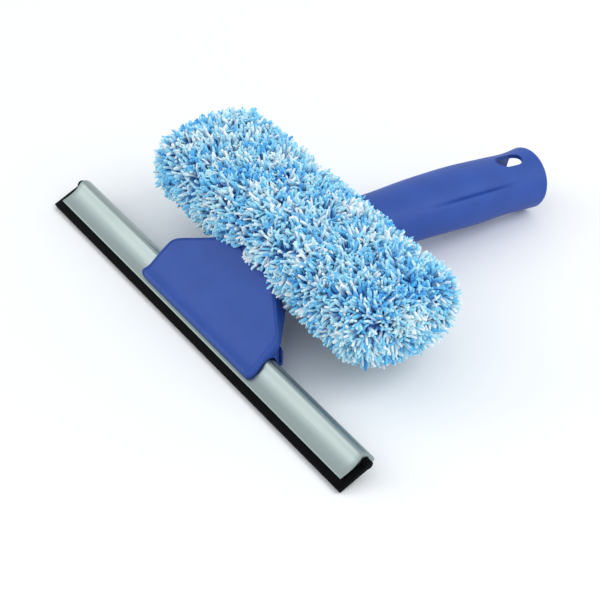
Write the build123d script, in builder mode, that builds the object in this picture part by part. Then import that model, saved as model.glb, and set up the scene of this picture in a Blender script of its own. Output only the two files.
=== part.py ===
"""Window squeegee with a washer sleeve: rubber blade in an aluminium channel, clamp holder,
T-bar with a microfibre sleeve, and a hollow oval handle with a pole socket.
Millimetres. X along the blade, +Y from the blade to the handle, +Z up. The tool rests on the
rubber's edge and the underside of the handle's end; the origin is under the middle of its box."""
import os
from math import cos, radians, sin

from build123d import *

# ---- driving dimensions ----
overall_depth = 216.0            # rubber edge to the end of the handle
channel_length = 254.0           # a 10 inch channel
rubber_overhang = 3.2            # rubber past each end of the channel
blade_slope = 23.6               # rise of the blade plane towards the handle, degrees
rubber_thickness = 2.4
rubber_depth = 17.8              # edge to the middle of the locking bead
bead_radius = 2.3
bead_rise = 0.7                  # bead centre above the strip's middle
running_gap = 0.06               # rubber in its channel, and channel in its clamp

channel_front = 4.0              # distances along the blade plane, from the rubber's edge
channel_rear = 22.4
channel_top = 2.6                # heights above the middle of the rubber strip
channel_hollow = 2.15
channel_crest = 4.9
channel_bottom = -3.2

lip_front = 6.0                  # holder, along the blade plane
shoulder = 29.2
holder_half_width = 49.4
shoulder_half_width = 48.6
neck_half_width = 20.6
neck_front = 47.7
under_inset = 8.0                # the clamp block under the holder's plate is narrower than the plate
under_top = 5.2                  # height of the plate's underside beside it
under_start = 25.0               # where that cut begins, behind the channel's rear wall
neck_overrun = 12.0              # the plan runs on behind the neck, into the hub
plate_rise_shoulder = 7.4        # height of the plate over the channel at the shoulder
plate_rise_neck = 12.2           # and at the neck
cut_margin = 3.0                 # cutting shapes reach this far past the sides they cut
jaw_thickness = 2.6
jaw_nose = 5.2                   # bevel under the jaw's front, which keeps it off the floor
screw_radius = 1.6
screw_head_radius = 3.0

holder_rear = 38.0               # from the rubber's edge, along Y
hub_rear = 100.0
bar_centre_y = 68.0              # T-bar and sleeve axis
bar_centre_z = 38.0
bar_length = 160.0
bar_depth = 30.0
bar_height = 16.0
bar_wall = 2.0

sleeve_length = 188.0
sleeve_depth = 68.0
sleeve_height = 45.0
sleeve_corner = 21.0
sleeve_end_round = 11.0
backing_wall = 1.5
slot_half_width = 22.0           # opening in the sleeve round the hub
slot_front_half_width = 28.5     # and round the holder's taper, at the sleeve's front

handle_wall = 2.3
grip_screw_y = 112.0
grip_screw_z = 12.0              # seat of the screw's head in the underside of the grip
# distance from the rubber's edge, axis height, half width, half height
handle_stations = [
    (100.0, 25.7, 16.4, 14.1),
    (120.0, 24.4, 17.0, 14.4),
    (145.0, 22.9, 17.9, 15.1),
    (169.0, 20.4, 18.3, 15.6),
    (190.0, 18.0, 17.5, 14.9),
    (206.0, 15.6, 17.0, 15.1),
    (216.0, 14.9, 17.4, 16.1),
]
handle_end_tilt = 10.0           # the open end leans forward under the rim, degrees
hole_centre_y = 199.5            # hanging hole, oval, through both walls
hole_length = 16.0
hole_width = 10.0
socket_mouth_y = 188.0           # round socket for an extension pole
socket_depth = 62.0
socket_radius = 10.0
socket_wall = 1.6

tip = -overall_depth / 2
slope = radians(blade_slope)
half_strip = rubber_thickness / 2
blade_y = tip + half_strip * sin(slope)
blade_z = half_strip * cos(slope)
along = (0, cos(slope), sin(slope))
outward = (0, -sin(slope), cos(slope))


def section_plane(x):
    """Plane across the blade at x: local x runs up the blade plane, local y stands off it."""
    return Plane(origin=(x, blade_y, blade_z), x_dir=along, z_dir=(1, 0, 0))


def blade_plane(height):
    """Plane of the blade at a height above the middle of the rubber strip."""
    base = Vector(0, blade_y, blade_z) + Vector(*outward) * height
    return Plane(origin=base, x_dir=(1, 0, 0), z_dir=outward)


def across(y, z):
    """Upright plane across the handle, facing +Y, centred on the object's middle."""
    return Plane(origin=(0, tip + y, z), x_dir=(1, 0, 0), z_dir=(0, 1, 0))


def bar_plane(x):
    """Plane across the T-bar at x: local x runs along Y, local y along Z."""
    return Plane(origin=(x, tip + bar_centre_y, bar_centre_z), x_dir=(0, 1, 0), z_dir=(1, 0, 0))


# ---- rubber blade: flat strip with a locking bead ----
rubber_half = channel_length / 2 + rubber_overhang
with BuildPart() as rubber_blade:
    with BuildSketch(section_plane(-rubber_half)):
        with Locations((rubber_depth / 2, 0)):
            Rectangle(rubber_depth, rubber_thickness)
        with Locations((rubber_depth, bead_rise)):
            Circle(bead_radius)
    extrude(amount=2 * rubber_half)

# ---- aluminium channel: hollow front, crest over the bead, closed back ----
slot_half = half_strip + running_gap
with BuildPart() as aluminium_channel:
    with BuildSketch(section_plane(-channel_length / 2)):
        with BuildLine():
            Spline(
                (channel_front, channel_top),
                (channel_front + 6.8, channel_hollow),
                (channel_front + 11.0, channel_top + 0.9),
                (channel_front + 14.2, channel_crest),
                (channel_front + 17.0, channel_top + 0.6),
                (channel_rear, -0.6),
                tangents=[(1, -0.12), (-0.1, -1)],
            )
            Line((channel_rear, -0.6), (channel_rear, channel_bottom))
            Line((channel_rear, channel_bottom), (channel_front + 1.0, channel_bottom))
            Line((channel_front + 1.0, channel_bottom), (channel_front, channel_bottom + 1.0))
            Line((channel_front, channel_bottom + 1.0), (channel_front, channel_top))
        make_face()
        with Locations((rubber_depth / 2, 0)):
            Rectangle(rubber_depth, 2 * slot_half, mode=Mode.SUBTRACT)
        with Locations((rubber_depth, bead_rise)):
            Circle(bead_radius + running_gap, mode=Mode.SUBTRACT)
    extrude(amount=channel_length)

# ---- holder upper shell: rolled lip over the channel, flat face, taper to the neck ----
with BuildPart() as clamp_void:
    with BuildSketch(section_plane(-holder_half_width - 5)):
        with BuildLine():
            Line((lip_front - 3, channel_top + running_gap), (channel_front + 1, channel_top + running_gap))
            Spline(
                (channel_front + 1, channel_top + running_gap),
                (channel_front + 6.8, channel_top + running_gap),
                (channel_front + 10.5, channel_top + 1.4),
                (channel_front + 14.2, channel_crest + 0.3),
                (channel_front + 17.0, channel_top + 1.6),
                (channel_rear + 0.3, 0.0),
                tangents=[(1, 0), (0, -1)],
            )
            Line((channel_rear + 0.3, 0.0), (channel_rear + 0.3, channel_bottom - running_gap))
            Line((channel_rear + 0.3, channel_bottom - running_gap), (lip_front - 3, channel_bottom - running_gap))
            Line((lip_front - 3, channel_bottom - running_gap), (lip_front - 3, channel_top + running_gap))
        make_face()
    extrude(amount=2 * holder_half_width + 10)

with BuildPart() as holder_plan:
    with BuildSketch(blade_plane(-12)):
        with BuildLine():
            Polyline(
                (-holder_half_width, lip_front),
                (holder_half_width, lip_front),
                (shoulder_half_width, shoulder),
                (neck_half_width, neck_front),
                (neck_half_width, neck_front + neck_overrun),
                (-neck_half_width, neck_front + neck_overrun),
                (-neck_half_width, neck_front),
                (-shoulder_half_width, shoulder),
                close=True,
            )
        plan_face = make_face()
        fillet(plan_face.vertices().group_by(Axis.Y)[0], 3.0)
    extrude(amount=50)

jaw_top = channel_bottom - running_gap
holder_tail = across(holder_rear, 0)
with BuildPart() as holder_upper_shell:
    with BuildSketch(section_plane(-holder_half_width - 2)):
        with BuildLine():
            Spline(
                (lip_front - 0.3, channel_top + 1.1),
                (lip_front + 1.9, channel_top + 3.1),
                (lip_front + 4.6, channel_top + 2.3),
                (lip_front + 13.0, channel_top + 5.0),
                (shoulder, channel_top + plate_rise_shoulder),
                (neck_front, channel_top + plate_rise_neck),
                tangents=[(0.1, 1), (1, 0.26)],
            )
            Line((neck_front, channel_top + plate_rise_neck), (neck_front + 4, channel_top + plate_rise_neck + 1))
            Line((neck_front + 4, channel_top + plate_rise_neck + 1), (neck_front + 4, 2.0))
            Line((neck_front + 4, 2.0), (shoulder + 2, jaw_top))
            Line((shoulder + 2, jaw_top), (lip_front - 0.3, jaw_top))
            Line((lip_front - 0.3, jaw_top), (lip_front - 0.3, channel_top + 1.1))
        make_face()
    extrude(amount=2 * holder_half_width + 4)
    add(holder_plan.part, mode=Mode.INTERSECT)
    add(clamp_void.part, mode=Mode.SUBTRACT)
    with BuildSketch(blade_plane(jaw_top - 2)):
        with BuildLine():
            Polyline(
                (holder_half_width + cut_margin, under_start),
                (holder_half_width - 1, under_start),
                (holder_half_width - under_inset, shoulder - 1),
                (neck_half_width + 1, neck_front - 3),
                (neck_half_width + 1, neck_front + neck_overrun),
                (holder_half_width + cut_margin, neck_front + neck_overrun),
                close=True,
            )
        under_cut = make_face()
        mirror(under_cut, about=Plane.YZ)
    extrude(amount=under_top - jaw_top + 2, mode=Mode.SUBTRACT)
    split(bisect_by=holder_tail, keep=Keep.BOTTOM)

# ---- lower jaw and its three clamp screws ----
screw_u = (channel_rear + shoulder) / 2 + 0.4
jaw_screw_places = [(x, screw_u) for x in (-36, 0, 36)]
with BuildPart() as holder_lower_jaw:
    with BuildSketch(blade_plane(jaw_top - jaw_thickness)):
        with BuildLine():
            Polyline(
                (-holder_half_width + 2, lip_front + 2),
                (holder_half_width - 2, lip_front + 2),
                (holder_half_width - 1.5, channel_rear + 2.4),
                (holder_half_width - under_inset, shoulder + 0.5),
                (-holder_half_width + under_inset, shoulder + 0.5),
                (-holder_half_width + 1.5, channel_rear + 2.4),
                close=True,
            )
        jaw_face = make_face()
        fillet(jaw_face.vertices(), 1.5)
    extrude(amount=jaw_thickness)
    with BuildSketch(blade_plane(jaw_top - jaw_thickness)):
        with Locations(*jaw_screw_places):
            Circle(screw_radius + 0.1)
    extrude(amount=jaw_thickness, mode=Mode.SUBTRACT)
    with BuildSketch(section_plane(-holder_half_width)):
        with BuildLine():
            Polyline(
                (lip_front, jaw_top - 0.2),
                (lip_front + 2 + jaw_nose, jaw_top - jaw_thickness),
                (lip_front + 2 + jaw_nose, jaw_top - jaw_thickness - 1),
                (lip_front, jaw_top - jaw_thickness - 1),
                close=True,
            )
        make_face()
    extrude(amount=2 * holder_half_width, mode=Mode.SUBTRACT)

screw_reach = 7.0
head_height = 1.6
with BuildPart() as jaw_screws:
    with BuildSketch(blade_plane(jaw_top - jaw_thickness - head_height)):
        with Locations(*jaw_screw_places):
            Circle(screw_head_radius)
    extrude(amount=head_height)
    with BuildSketch(blade_plane(jaw_top - jaw_thickness)):
        with Locations(*jaw_screw_places):
            Circle(screw_radius)
    extrude(amount=jaw_thickness + screw_reach)
    with BuildSketch(blade_plane(jaw_top - jaw_thickness - head_height)):
        with Locations(*jaw_screw_places):
            Rectangle(3.4, 0.7)
            Rectangle(0.7, 3.4)
    extrude(amount=0.8, mode=Mode.SUBTRACT)

with BuildPart() as jaw_screw_bores:
    with BuildSketch(blade_plane(jaw_top)):
        with Locations(*jaw_screw_places):
            Circle(screw_radius)
    extrude(amount=screw_reach + 0.5)
with BuildPart() as holder_shell_bored:
    add(holder_upper_shell.part)
    add(jaw_screw_bores.part, mode=Mode.SUBTRACT)

# ---- hub between the holder and the handle, with a saddle for the T-bar ----
# distance from the rubber's edge, centre height, width, height, corner radius
hub_stations = [
    (holder_rear, 27.0, 2 * neck_half_width, 10.5, 3.0),
    (54.0, 30.0, 39.5, 28.4, 7.0),
    (82.0, 29.6, 37.0, 27.6, 9.0),
    (hub_rear, 25.7, 32.6, 28.0, 13.0),
]
spigot_length = 22.0
saddle_fit = 0.1
with BuildPart() as neck_hub:
    for y, z, width, height, corner in hub_stations:
        with BuildSketch(across(y, z)):
            RectangleRounded(width, height, corner)
    loft()
    first = handle_stations[0]
    second = handle_stations[1]
    with BuildSketch(across(hub_rear - 1, first[1])):
        Ellipse(first[2] - handle_wall - 0.3, first[3] - handle_wall - 0.3)
    with BuildSketch(across(hub_rear + spigot_length, second[1] - 0.1)):
        Ellipse(first[2] - handle_wall - 0.3, first[3] - handle_wall - 0.3)
    loft()
    with Locations((0, tip + bar_centre_y, bar_centre_z + 8)):
        Box(60, bar_depth + 2 * saddle_fit, bar_height + 16 + 2 * saddle_fit, mode=Mode.SUBTRACT)

# ---- T-bar: two ribbed halves, two end caps, two screws ----
bar_half = bar_length / 2
rib_places = [x for x in range(-70, 71, 20)]


def bar_half_shell(side):
    """One half of the T-bar: a tray with cross ribs; side is 1 above the joint, -1 below."""
    with BuildPart() as half:
        with BuildSketch(bar_plane(-bar_half)):
            RectangleRounded(bar_depth, bar_height, 7.0)
            RectangleRounded(bar_depth - 2 * bar_wall, bar_height - 2 * bar_wall, 5.0, mode=Mode.SUBTRACT)
        extrude(amount=bar_length)
        for x in rib_places:
            with BuildSketch(bar_plane(x - 0.8)):
                RectangleRounded(bar_depth - 2, bar_height - 2, 6.0)
            extrude(amount=1.6)
        with Locations((0, tip + bar_centre_y, bar_centre_z)):
            Box(24, 16, bar_height - 2)
        with Locations((0, tip + bar_centre_y, bar_centre_z - side * bar_height)):
            Box(bar_length + 2, bar_depth + 2, 2 * bar_height, mode=Mode.SUBTRACT)
        with Locations(*[(x, tip + bar_centre_y, bar_centre_z) for x in (-9, 9)]):
            Cylinder(1.6, 40, mode=Mode.SUBTRACT)
    return half


tbar_upper_half = bar_half_shell(1)
tbar_lower_half = bar_half_shell(-1)

bar_bottom = bar_centre_z - bar_height / 2
bar_top = bar_centre_z + bar_height / 2
bar_screw_reach = 10.0
with BuildPart() as tbar_screws:
    with Locations(*[(x, tip + bar_centre_y, 0) for x in (-9, 9)]):
        with Locations((0, 0, (bar_top + bar_bottom - bar_screw_reach) / 2)):
            Cylinder(1.6, bar_height + bar_screw_reach)
        with Locations((0, 0, bar_top + 0.3)):
            Cylinder(2.9, 0.6)
with BuildPart() as neck_hub_bored:
    add(neck_hub.part)
    with Locations(*[(x, tip + bar_centre_y, bar_bottom - bar_screw_reach / 2) for x in (-9, 9)]):
        Cylinder(1.6, bar_screw_reach + 0.6, mode=Mode.SUBTRACT)


def bar_end_cap(side):
    """Push-in cap that closes one end of the T-bar."""
    face = side * bar_half
    with BuildPart() as cap:
        with BuildSketch(bar_plane(face if side > 0 else face - 1.2)):
            RectangleRounded(bar_depth, bar_height, 7.0)
        extrude(amount=1.2)
        with BuildSketch(bar_plane(face - 7 if side > 0 else face)):
            RectangleRounded(bar_depth - 2 * bar_wall - 0.1, bar_height - 2 * bar_wall - 0.1, 4.9)
            RectangleRounded(bar_depth - 4 * bar_wall, bar_height - 4 * bar_wall, 3.0, mode=Mode.SUBTRACT)
        extrude(amount=7)
    return cap


tbar_end_cap_left = bar_end_cap(-1)
tbar_end_cap_right = bar_end_cap(1)

# ---- microfibre sleeve: woven backing, end panels, pile, strap with two snaps ----
bar_fit = 0.6                    # sleeve cavity round the T-bar
cavity_depth = bar_depth + 2 * bar_fit
cavity_height = bar_height + 2 * bar_fit + 0.6
cavity_half = bar_half + 2.0
backing_depth = cavity_depth + 2 * backing_wall
backing_height = cavity_height + 2 * backing_wall
sleeve_floor = bar_centre_z - sleeve_height / 2


def cut_hub_slot():
    """Opening from below, through front and back, that follows the top of the hub."""
    crest = bar_top + 0.3
    with BuildSketch(Plane(origin=(-slot_half_width, tip, 0), x_dir=(0, 1, 0), z_dir=(1, 0, 0))) as slot:
        with BuildLine():
            Polyline(
                (holder_rear - 8, 0),
                (holder_rear - 8, 27.0),
                (holder_rear, 34.0),
                (54.0, crest),
                (82.0, crest),
                (hub_rear + 6, 42.5),
                (hub_rear + 6, 0),
                close=True,
            )
        make_face()
    extrude(slot.sketch, amount=2 * slot_half_width, mode=Mode.SUBTRACT)
    with Locations((0, tip + holder_rear - 2, 17.5)):
        Box(2 * slot_front_half_width, 11, 35, mode=Mode.SUBTRACT)


with BuildPart() as sleeve_backing:
    with BuildSketch(bar_plane(-cavity_half)):
        RectangleRounded(backing_depth, backing_height, 8.5)
        RectangleRounded(cavity_depth, cavity_height, 7.0, mode=Mode.SUBTRACT)
    extrude(amount=2 * cavity_half)
    cut_hub_slot()


def end_panel(side):
    """Round-cornered disc of backing cloth sewn into one end of the sleeve."""
    inner = side * cavity_half
    with BuildPart() as panel:
        with BuildSketch(bar_plane(inner if side > 0 else inner - backing_wall)):
            RectangleRounded(backing_depth, backing_height, 8.5)
        extrude(amount=backing_wall)
    return panel


sleeve_end_panel_left = end_panel(-1)
sleeve_end_panel_right = end_panel(1)

strap_length = 84.0
strap_width = 22.0
strap_thickness = 1.6
strap_top = sleeve_floor - 0.1
snap_places = [(x, tip + bar_centre_y) for x in (-34, 34)]
snap_radius = 5.0
with BuildPart() as sleeve_pile:
    with BuildSketch(bar_plane(-sleeve_length / 2)):
        RectangleRounded(sleeve_depth, sleeve_height, sleeve_corner)
    extrude(amount=sleeve_length)
    end_faces = sleeve_pile.faces().filter_by(Axis.X)
    fillet(end_faces.edges(), sleeve_end_round)
    with BuildSketch(bar_plane(-cavity_half - backing_wall)):
        RectangleRounded(backing_depth, backing_height, 8.5)
    extrude(amount=2 * (cavity_half + backing_wall), mode=Mode.SUBTRACT)
    cut_hub_slot()
    with Locations(*[(x, y, sleeve_floor) for x, y in snap_places]):
        Cylinder(snap_radius, 3.2, mode=Mode.SUBTRACT)

with BuildPart() as sleeve_strap:
    with BuildSketch(Plane.XY.offset(strap_top - strap_thickness)):
        with Locations((0, tip + bar_centre_y)):
            RectangleRounded(strap_length, strap_width, 5.0)
    extrude(amount=strap_thickness)

with BuildPart() as snap_caps:
    with BuildSketch(Plane.XY.offset(strap_top - strap_thickness - 1.2)):
        with Locations(*snap_places):
            Circle(snap_radius)
    extrude(amount=1.2)
with BuildPart() as snap_sockets:
    with BuildSketch(Plane.XY.offset(strap_top)):
        with Locations(*snap_places):
            Circle(snap_radius - 0.3)
    extrude(amount=1.5)

# ---- handle: hollow oval grip, open at the end, with a hanging hole ----
with BuildPart() as handle_bore:
    for y, z, half_width, half_height in handle_stations:
        with BuildSketch(across(y, z)):
            Ellipse(half_width - handle_wall, half_height - handle_wall)
    loft()
lean = radians(handle_end_tilt)
rim_top = handle_stations[-1][1] + handle_stations[-1][3]
handle_end = Plane(origin=(0, -tip, rim_top), x_dir=(1, 0, 0), z_dir=(0, cos(lean), -sin(lean)))
with BuildPart() as handle_grip:
    for y, z, half_width, half_height in handle_stations:
        with BuildSketch(across(y, z)):
            Ellipse(half_width, half_height)
    loft()
    add(handle_bore.part, mode=Mode.SUBTRACT)
    with BuildSketch(Plane.XY):
        with Locations((0, tip + hole_centre_y)):
            SlotOverall(hole_length, hole_width, rotation=90)
    extrude(amount=60, mode=Mode.SUBTRACT)
    with Locations((0, tip + grip_screw_y, grip_screw_z + 2)):
        Cylinder(screw_radius + 0.1, 8, mode=Mode.SUBTRACT)
    with Locations((0, tip + grip_screw_y, grip_screw_z - 2.5)):
        Cylinder(screw_head_radius, 5, mode=Mode.SUBTRACT)
    split(bisect_by=handle_end, keep=Keep.BOTTOM)
    split(bisect_by=Plane.XY, keep=Keep.TOP)

# ---- socket sleeve for an extension pole, held in the grip by two webs ----
socket_start_y = socket_mouth_y - socket_depth - socket_wall
socket_axis_z = 21.3
socket_drop = -0.094
socket_plane = Plane(
    origin=(0, tip + socket_start_y, socket_axis_z - socket_drop * socket_depth / 2),
    x_dir=(1, 0, 0),
    z_dir=(0, 1, socket_drop),
)
with BuildPart() as pole_socket_sleeve:
    with BuildSketch(socket_plane):
        Circle(socket_radius + socket_wall)
    extrude(amount=socket_depth + socket_wall)
    with BuildSketch(socket_plane.offset(socket_wall)):
        Circle(socket_radius)
    extrude(amount=socket_depth + 1, mode=Mode.SUBTRACT)
with BuildPart() as socket_webs:
    for y in (socket_start_y + 6, socket_mouth_y - 10):
        with BuildSketch(across(y, socket_axis_z)):
            Rectangle(60, 50)
        extrude(amount=2.0)
    add(handle_bore.part, mode=Mode.INTERSECT)
    with BuildSketch(socket_plane):
        Circle(socket_radius + socket_wall)
    extrude(amount=socket_depth + socket_wall, mode=Mode.SUBTRACT)

# ---- screw from below that holds the grip on the hub's spigot ----
grip_screw_length = 9.0
with BuildPart() as grip_screw:
    with Locations((0, tip + grip_screw_y, grip_screw_z + grip_screw_length / 2)):
        Cylinder(screw_radius, grip_screw_length)
    with Locations((0, tip + grip_screw_y, grip_screw_z - 0.7)):
        Cylinder(screw_head_radius - 0.1, 1.4)
with BuildPart() as neck_hub_finished:
    add(neck_hub_bored.part)
    with Locations((0, tip + grip_screw_y, grip_screw_z + grip_screw_length / 2)):
        Cylinder(screw_radius, grip_screw_length + 0.4, mode=Mode.SUBTRACT)

pieces = {
    "rubber_blade": rubber_blade,
    "aluminium_channel": aluminium_channel,
    "holder_upper_shell": holder_shell_bored,
    "holder_lower_jaw": holder_lower_jaw,
    "jaw_screws": jaw_screws,
    "neck_hub": neck_hub_finished,
    "tbar_upper_half": tbar_upper_half,
    "tbar_lower_half": tbar_lower_half,
    "tbar_end_cap_left": tbar_end_cap_left,
    "tbar_end_cap_right": tbar_end_cap_right,
    "tbar_screws": tbar_screws,
    "sleeve_backing": sleeve_backing,
    "sleeve_end_panel_left": sleeve_end_panel_left,
    "sleeve_end_panel_right": sleeve_end_panel_right,
    "sleeve_pile": sleeve_pile,
    "sleeve_strap": sleeve_strap,
    "snap_caps": snap_caps,
    "snap_sockets": snap_sockets,
    "handle_grip": handle_grip,
    "pole_socket_sleeve": pole_socket_sleeve,
    "socket_webs": socket_webs,
    "grip_screw": grip_screw,
}

os.makedirs("parts", exist_ok=True)
for name, piece in pieces.items():
    piece.part.label = name
    export_step(piece.part, f"parts/{name}.step")
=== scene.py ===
"""Window squeegee with a washer sleeve: the visible pieces, their materials and a studio stage.

Metres. X along the blade, +Y from the blade to the handle, +Z up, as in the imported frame."""

from math import cos, pi, radians, sin, sqrt

import bmesh
import bpy
import numpy as np
from bpy.props import FloatProperty, FloatVectorProperty, IntProperty, PointerProperty
from mathutils import Matrix, Vector
from mathutils.geometry import tessellate_polygon
from mathutils.kdtree import KDTree


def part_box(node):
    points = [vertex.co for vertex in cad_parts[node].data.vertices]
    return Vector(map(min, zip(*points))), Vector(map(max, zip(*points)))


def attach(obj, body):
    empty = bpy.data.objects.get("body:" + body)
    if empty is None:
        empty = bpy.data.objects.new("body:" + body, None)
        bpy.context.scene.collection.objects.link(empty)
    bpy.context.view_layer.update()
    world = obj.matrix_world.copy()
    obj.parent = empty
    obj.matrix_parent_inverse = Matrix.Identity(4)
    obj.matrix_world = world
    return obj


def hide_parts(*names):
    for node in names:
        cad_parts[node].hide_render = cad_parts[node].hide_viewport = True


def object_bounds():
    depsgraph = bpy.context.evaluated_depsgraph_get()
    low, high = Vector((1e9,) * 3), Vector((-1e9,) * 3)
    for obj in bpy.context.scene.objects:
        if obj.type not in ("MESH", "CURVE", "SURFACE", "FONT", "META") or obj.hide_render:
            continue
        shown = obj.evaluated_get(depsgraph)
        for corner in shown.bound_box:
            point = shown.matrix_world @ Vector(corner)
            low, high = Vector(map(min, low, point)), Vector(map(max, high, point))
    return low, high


bl_info = {
    "name": "Window squeegee",
    "version": (1, 0, 0),
    "blender": (4, 5, 0),
    "location": "3D View > Sidebar > Squeegee",
    "description": "Builds the visible pieces of a window squeegee with a washer sleeve",
    "category": "Object",
}

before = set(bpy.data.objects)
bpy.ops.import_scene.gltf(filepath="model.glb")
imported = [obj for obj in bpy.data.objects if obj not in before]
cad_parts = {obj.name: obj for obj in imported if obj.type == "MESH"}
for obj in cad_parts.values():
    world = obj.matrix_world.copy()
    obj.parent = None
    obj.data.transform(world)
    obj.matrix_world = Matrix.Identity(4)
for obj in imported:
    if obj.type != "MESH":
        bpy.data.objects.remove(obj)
cad_low, cad_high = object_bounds()
MM = 0.001

# the blade plane: rises from the rubber's edge towards the handle
SLOPE = radians(23.6)
RUBBER_THICKNESS = 2.4 * MM
BLADE_Y = cad_low[1] + RUBBER_THICKNESS / 2 * sin(SLOPE)
BLADE_Z = RUBBER_THICKNESS / 2 * cos(SLOPE)

# the sleeve's roll and the T-bar inside it
pile_low, pile_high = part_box("sleeve_pile")
PILE_CENTRE = (pile_low + pile_high) / 2
PILE_HALF = (pile_high - pile_low) / 2

# the grip: distance from the rubber's edge, axis height, half width, half height, in millimetres
GRIP_STATIONS = (
    (100.0, 25.7, 16.4, 14.1),
    (120.0, 24.4, 17.0, 14.4),
    (145.0, 22.9, 17.9, 15.1),
    (169.0, 20.4, 18.3, 15.6),
    (190.0, 18.0, 17.5, 14.9),
    (206.0, 15.6, 17.0, 15.1),
    (216.0, 14.9, 17.4, 16.1),
)
GRIP_END_TILT = radians(10.0)    # the open end leans forward under the rim
GRIP_WALL = 2.3 * MM
GROOVE_TURN = radians(37.5)      # of the soft groove along each flank, above the horizontal
HOLE_Y = 199.5 * MM
HOLE_LENGTH = 16 * MM
HOLE_WIDTH = 10 * MM
# top of the hub and holder under the sleeve: distance from the rubber's edge, height, in millimetres
HUB_TOP = ((30.0, 25.6), (38.0, 32.3), (54.0, 44.2), (82.0, 43.4), (100.0, 39.8), (120.0, 38.8))


# ---- colours, materials ----

def linear(hex_colour):
    """Linear RGBA of an sRGB hex colour such as '3C5CB0'."""
    parts = [int(hex_colour[i:i + 2], 16) / 255 for i in (0, 2, 4)]
    return tuple(p / 12.92 if p <= 0.04045 else ((p + 0.055) / 1.055) ** 2.4 for p in parts) + (1.0,)


def tinted(colour, factor):
    """A linear colour made darker or lighter by a factor."""
    return tuple(min(1.0, part * factor) for part in tuple(colour)[:3]) + (1.0,)


def add_node(tree, kind, inputs=None, stops=(), **settings):
    """Adds a shader node. Inputs maps a socket to a value or to the output that feeds it, and stops
    are a colour ramp's positions and colours."""
    made = tree.nodes.new(kind)
    for name, value in settings.items():
        setattr(made, name, value)
    for key, value in (inputs or {}).items():
        if isinstance(value, bpy.types.NodeSocket):
            tree.links.new(value, made.inputs[key])
        else:
            made.inputs[key].default_value = value
    for i, (position, colour) in enumerate(stops):
        points = made.color_ramp.elements
        point = points[i] if i < len(points) else points.new(position)
        point.position = position
        point.color = colour
    return made


def blank_material(name):
    """An empty node material and its tree."""
    material = bpy.data.materials.new(name)
    material.use_nodes = True
    material.node_tree.nodes.clear()
    return material, material.node_tree


def close_material(material, tree, inputs):
    """Ends a material in one principled surface."""
    surface = add_node(tree, "ShaderNodeBsdfPrincipled", inputs)
    add_node(tree, "ShaderNodeOutputMaterial", {"Surface": surface.outputs["BSDF"]})
    return material


def moulded_polypropylene(name, colour):
    """Injection moulded polypropylene, spark-eroded tool finish: an even satin blue with a soft,
    broad highlight, faint flow mottling and a fine grain."""
    material, tree = blank_material(name)
    where = add_node(tree, "ShaderNodeTexCoord").outputs["Object"]
    # flow marks about 14 mm across; the real grain is near 0.1 mm and is drawn at 0.35 mm to show
    mottle = add_node(tree, "ShaderNodeTexNoise", {"Vector": where, "Scale": 1 / (14 * MM), "Detail": 3.0})
    grain = add_node(tree, "ShaderNodeTexNoise", {"Vector": where, "Scale": 1 / (0.35 * MM), "Detail": 2.0})
    # handling scuffs run along the tool
    drawn = add_node(tree, "ShaderNodeMapping", {"Vector": where, "Scale": (1, 0.2, 1)})
    scuffs = add_node(tree, "ShaderNodeTexNoise", {
        "Vector": drawn.outputs["Vector"], "Scale": 1 / (2.5 * MM), "Detail": 6.0, "Roughness": 0.7})
    tint = add_node(tree, "ShaderNodeValToRGB", {"Fac": mottle.outputs["Fac"]},
                    ((0.3, tinted(colour, 0.93)), (0.7, tinted(colour, 1.07))))
    gloss = add_node(tree, "ShaderNodeMapRange", {
        "Value": scuffs.outputs["Fac"], "To Min": 0.44, "To Max": 0.56})
    relief = add_node(tree, "ShaderNodeBump", {
        "Height": grain.outputs["Fac"], "Strength": 0.18, "Distance": 0.05 * MM})
    return close_material(material, tree, {
        "Base Color": tint.outputs["Color"],
        "Roughness": gloss.outputs["Result"],
        "IOR": 1.49,
        "Specular IOR Level": 0.30,
        "Normal": relief.outputs["Normal"],
    })


def anodised_aluminium(name, colour):
    """Extruded aluminium, satin etched and clear anodised: pale cool metal whose fine die lines run
    along the length and draw the reflections into long soft bands."""
    material, tree = blank_material(name)
    where = add_node(tree, "ShaderNodeTexCoord").outputs["Object"]
    # die lines are about 0.05 mm apart on the real extrusion and are drawn at 0.22 mm to show
    drawn = add_node(tree, "ShaderNodeMapping", {"Vector": where, "Scale": (0.004, 1, 1)})
    lines = add_node(tree, "ShaderNodeTexNoise", {
        "Vector": drawn.outputs["Vector"], "Scale": 1 / (0.22 * MM), "Detail": 3.0, "Roughness": 0.6})
    # the etch clouds over some 9 mm, longer along the extrusion
    spread = add_node(tree, "ShaderNodeMapping", {"Vector": where, "Scale": (0.25, 1, 1)})
    clouds = add_node(tree, "ShaderNodeTexNoise", {
        "Vector": spread.outputs["Vector"], "Scale": 1 / (9 * MM), "Detail": 3.0})
    tint = add_node(tree, "ShaderNodeValToRGB", {"Fac": lines.outputs["Fac"]},
                    ((0.3, tinted(colour, 0.86)), (0.7, tinted(colour, 1.0))))
    gloss = add_node(tree, "ShaderNodeMapRange", {
        "Value": clouds.outputs["Fac"], "To Min": 0.32, "To Max": 0.42})
    relief = add_node(tree, "ShaderNodeBump", {
        "Height": lines.outputs["Fac"], "Strength": 0.25, "Distance": 0.02 * MM})
    return close_material(material, tree, {
        "Base Color": tint.outputs["Color"],
        "Metallic": 1.0,
        "Roughness": gloss.outputs["Result"],
        "Anisotropic": 0.4,
        "Normal": relief.outputs["Normal"],
    })


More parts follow.
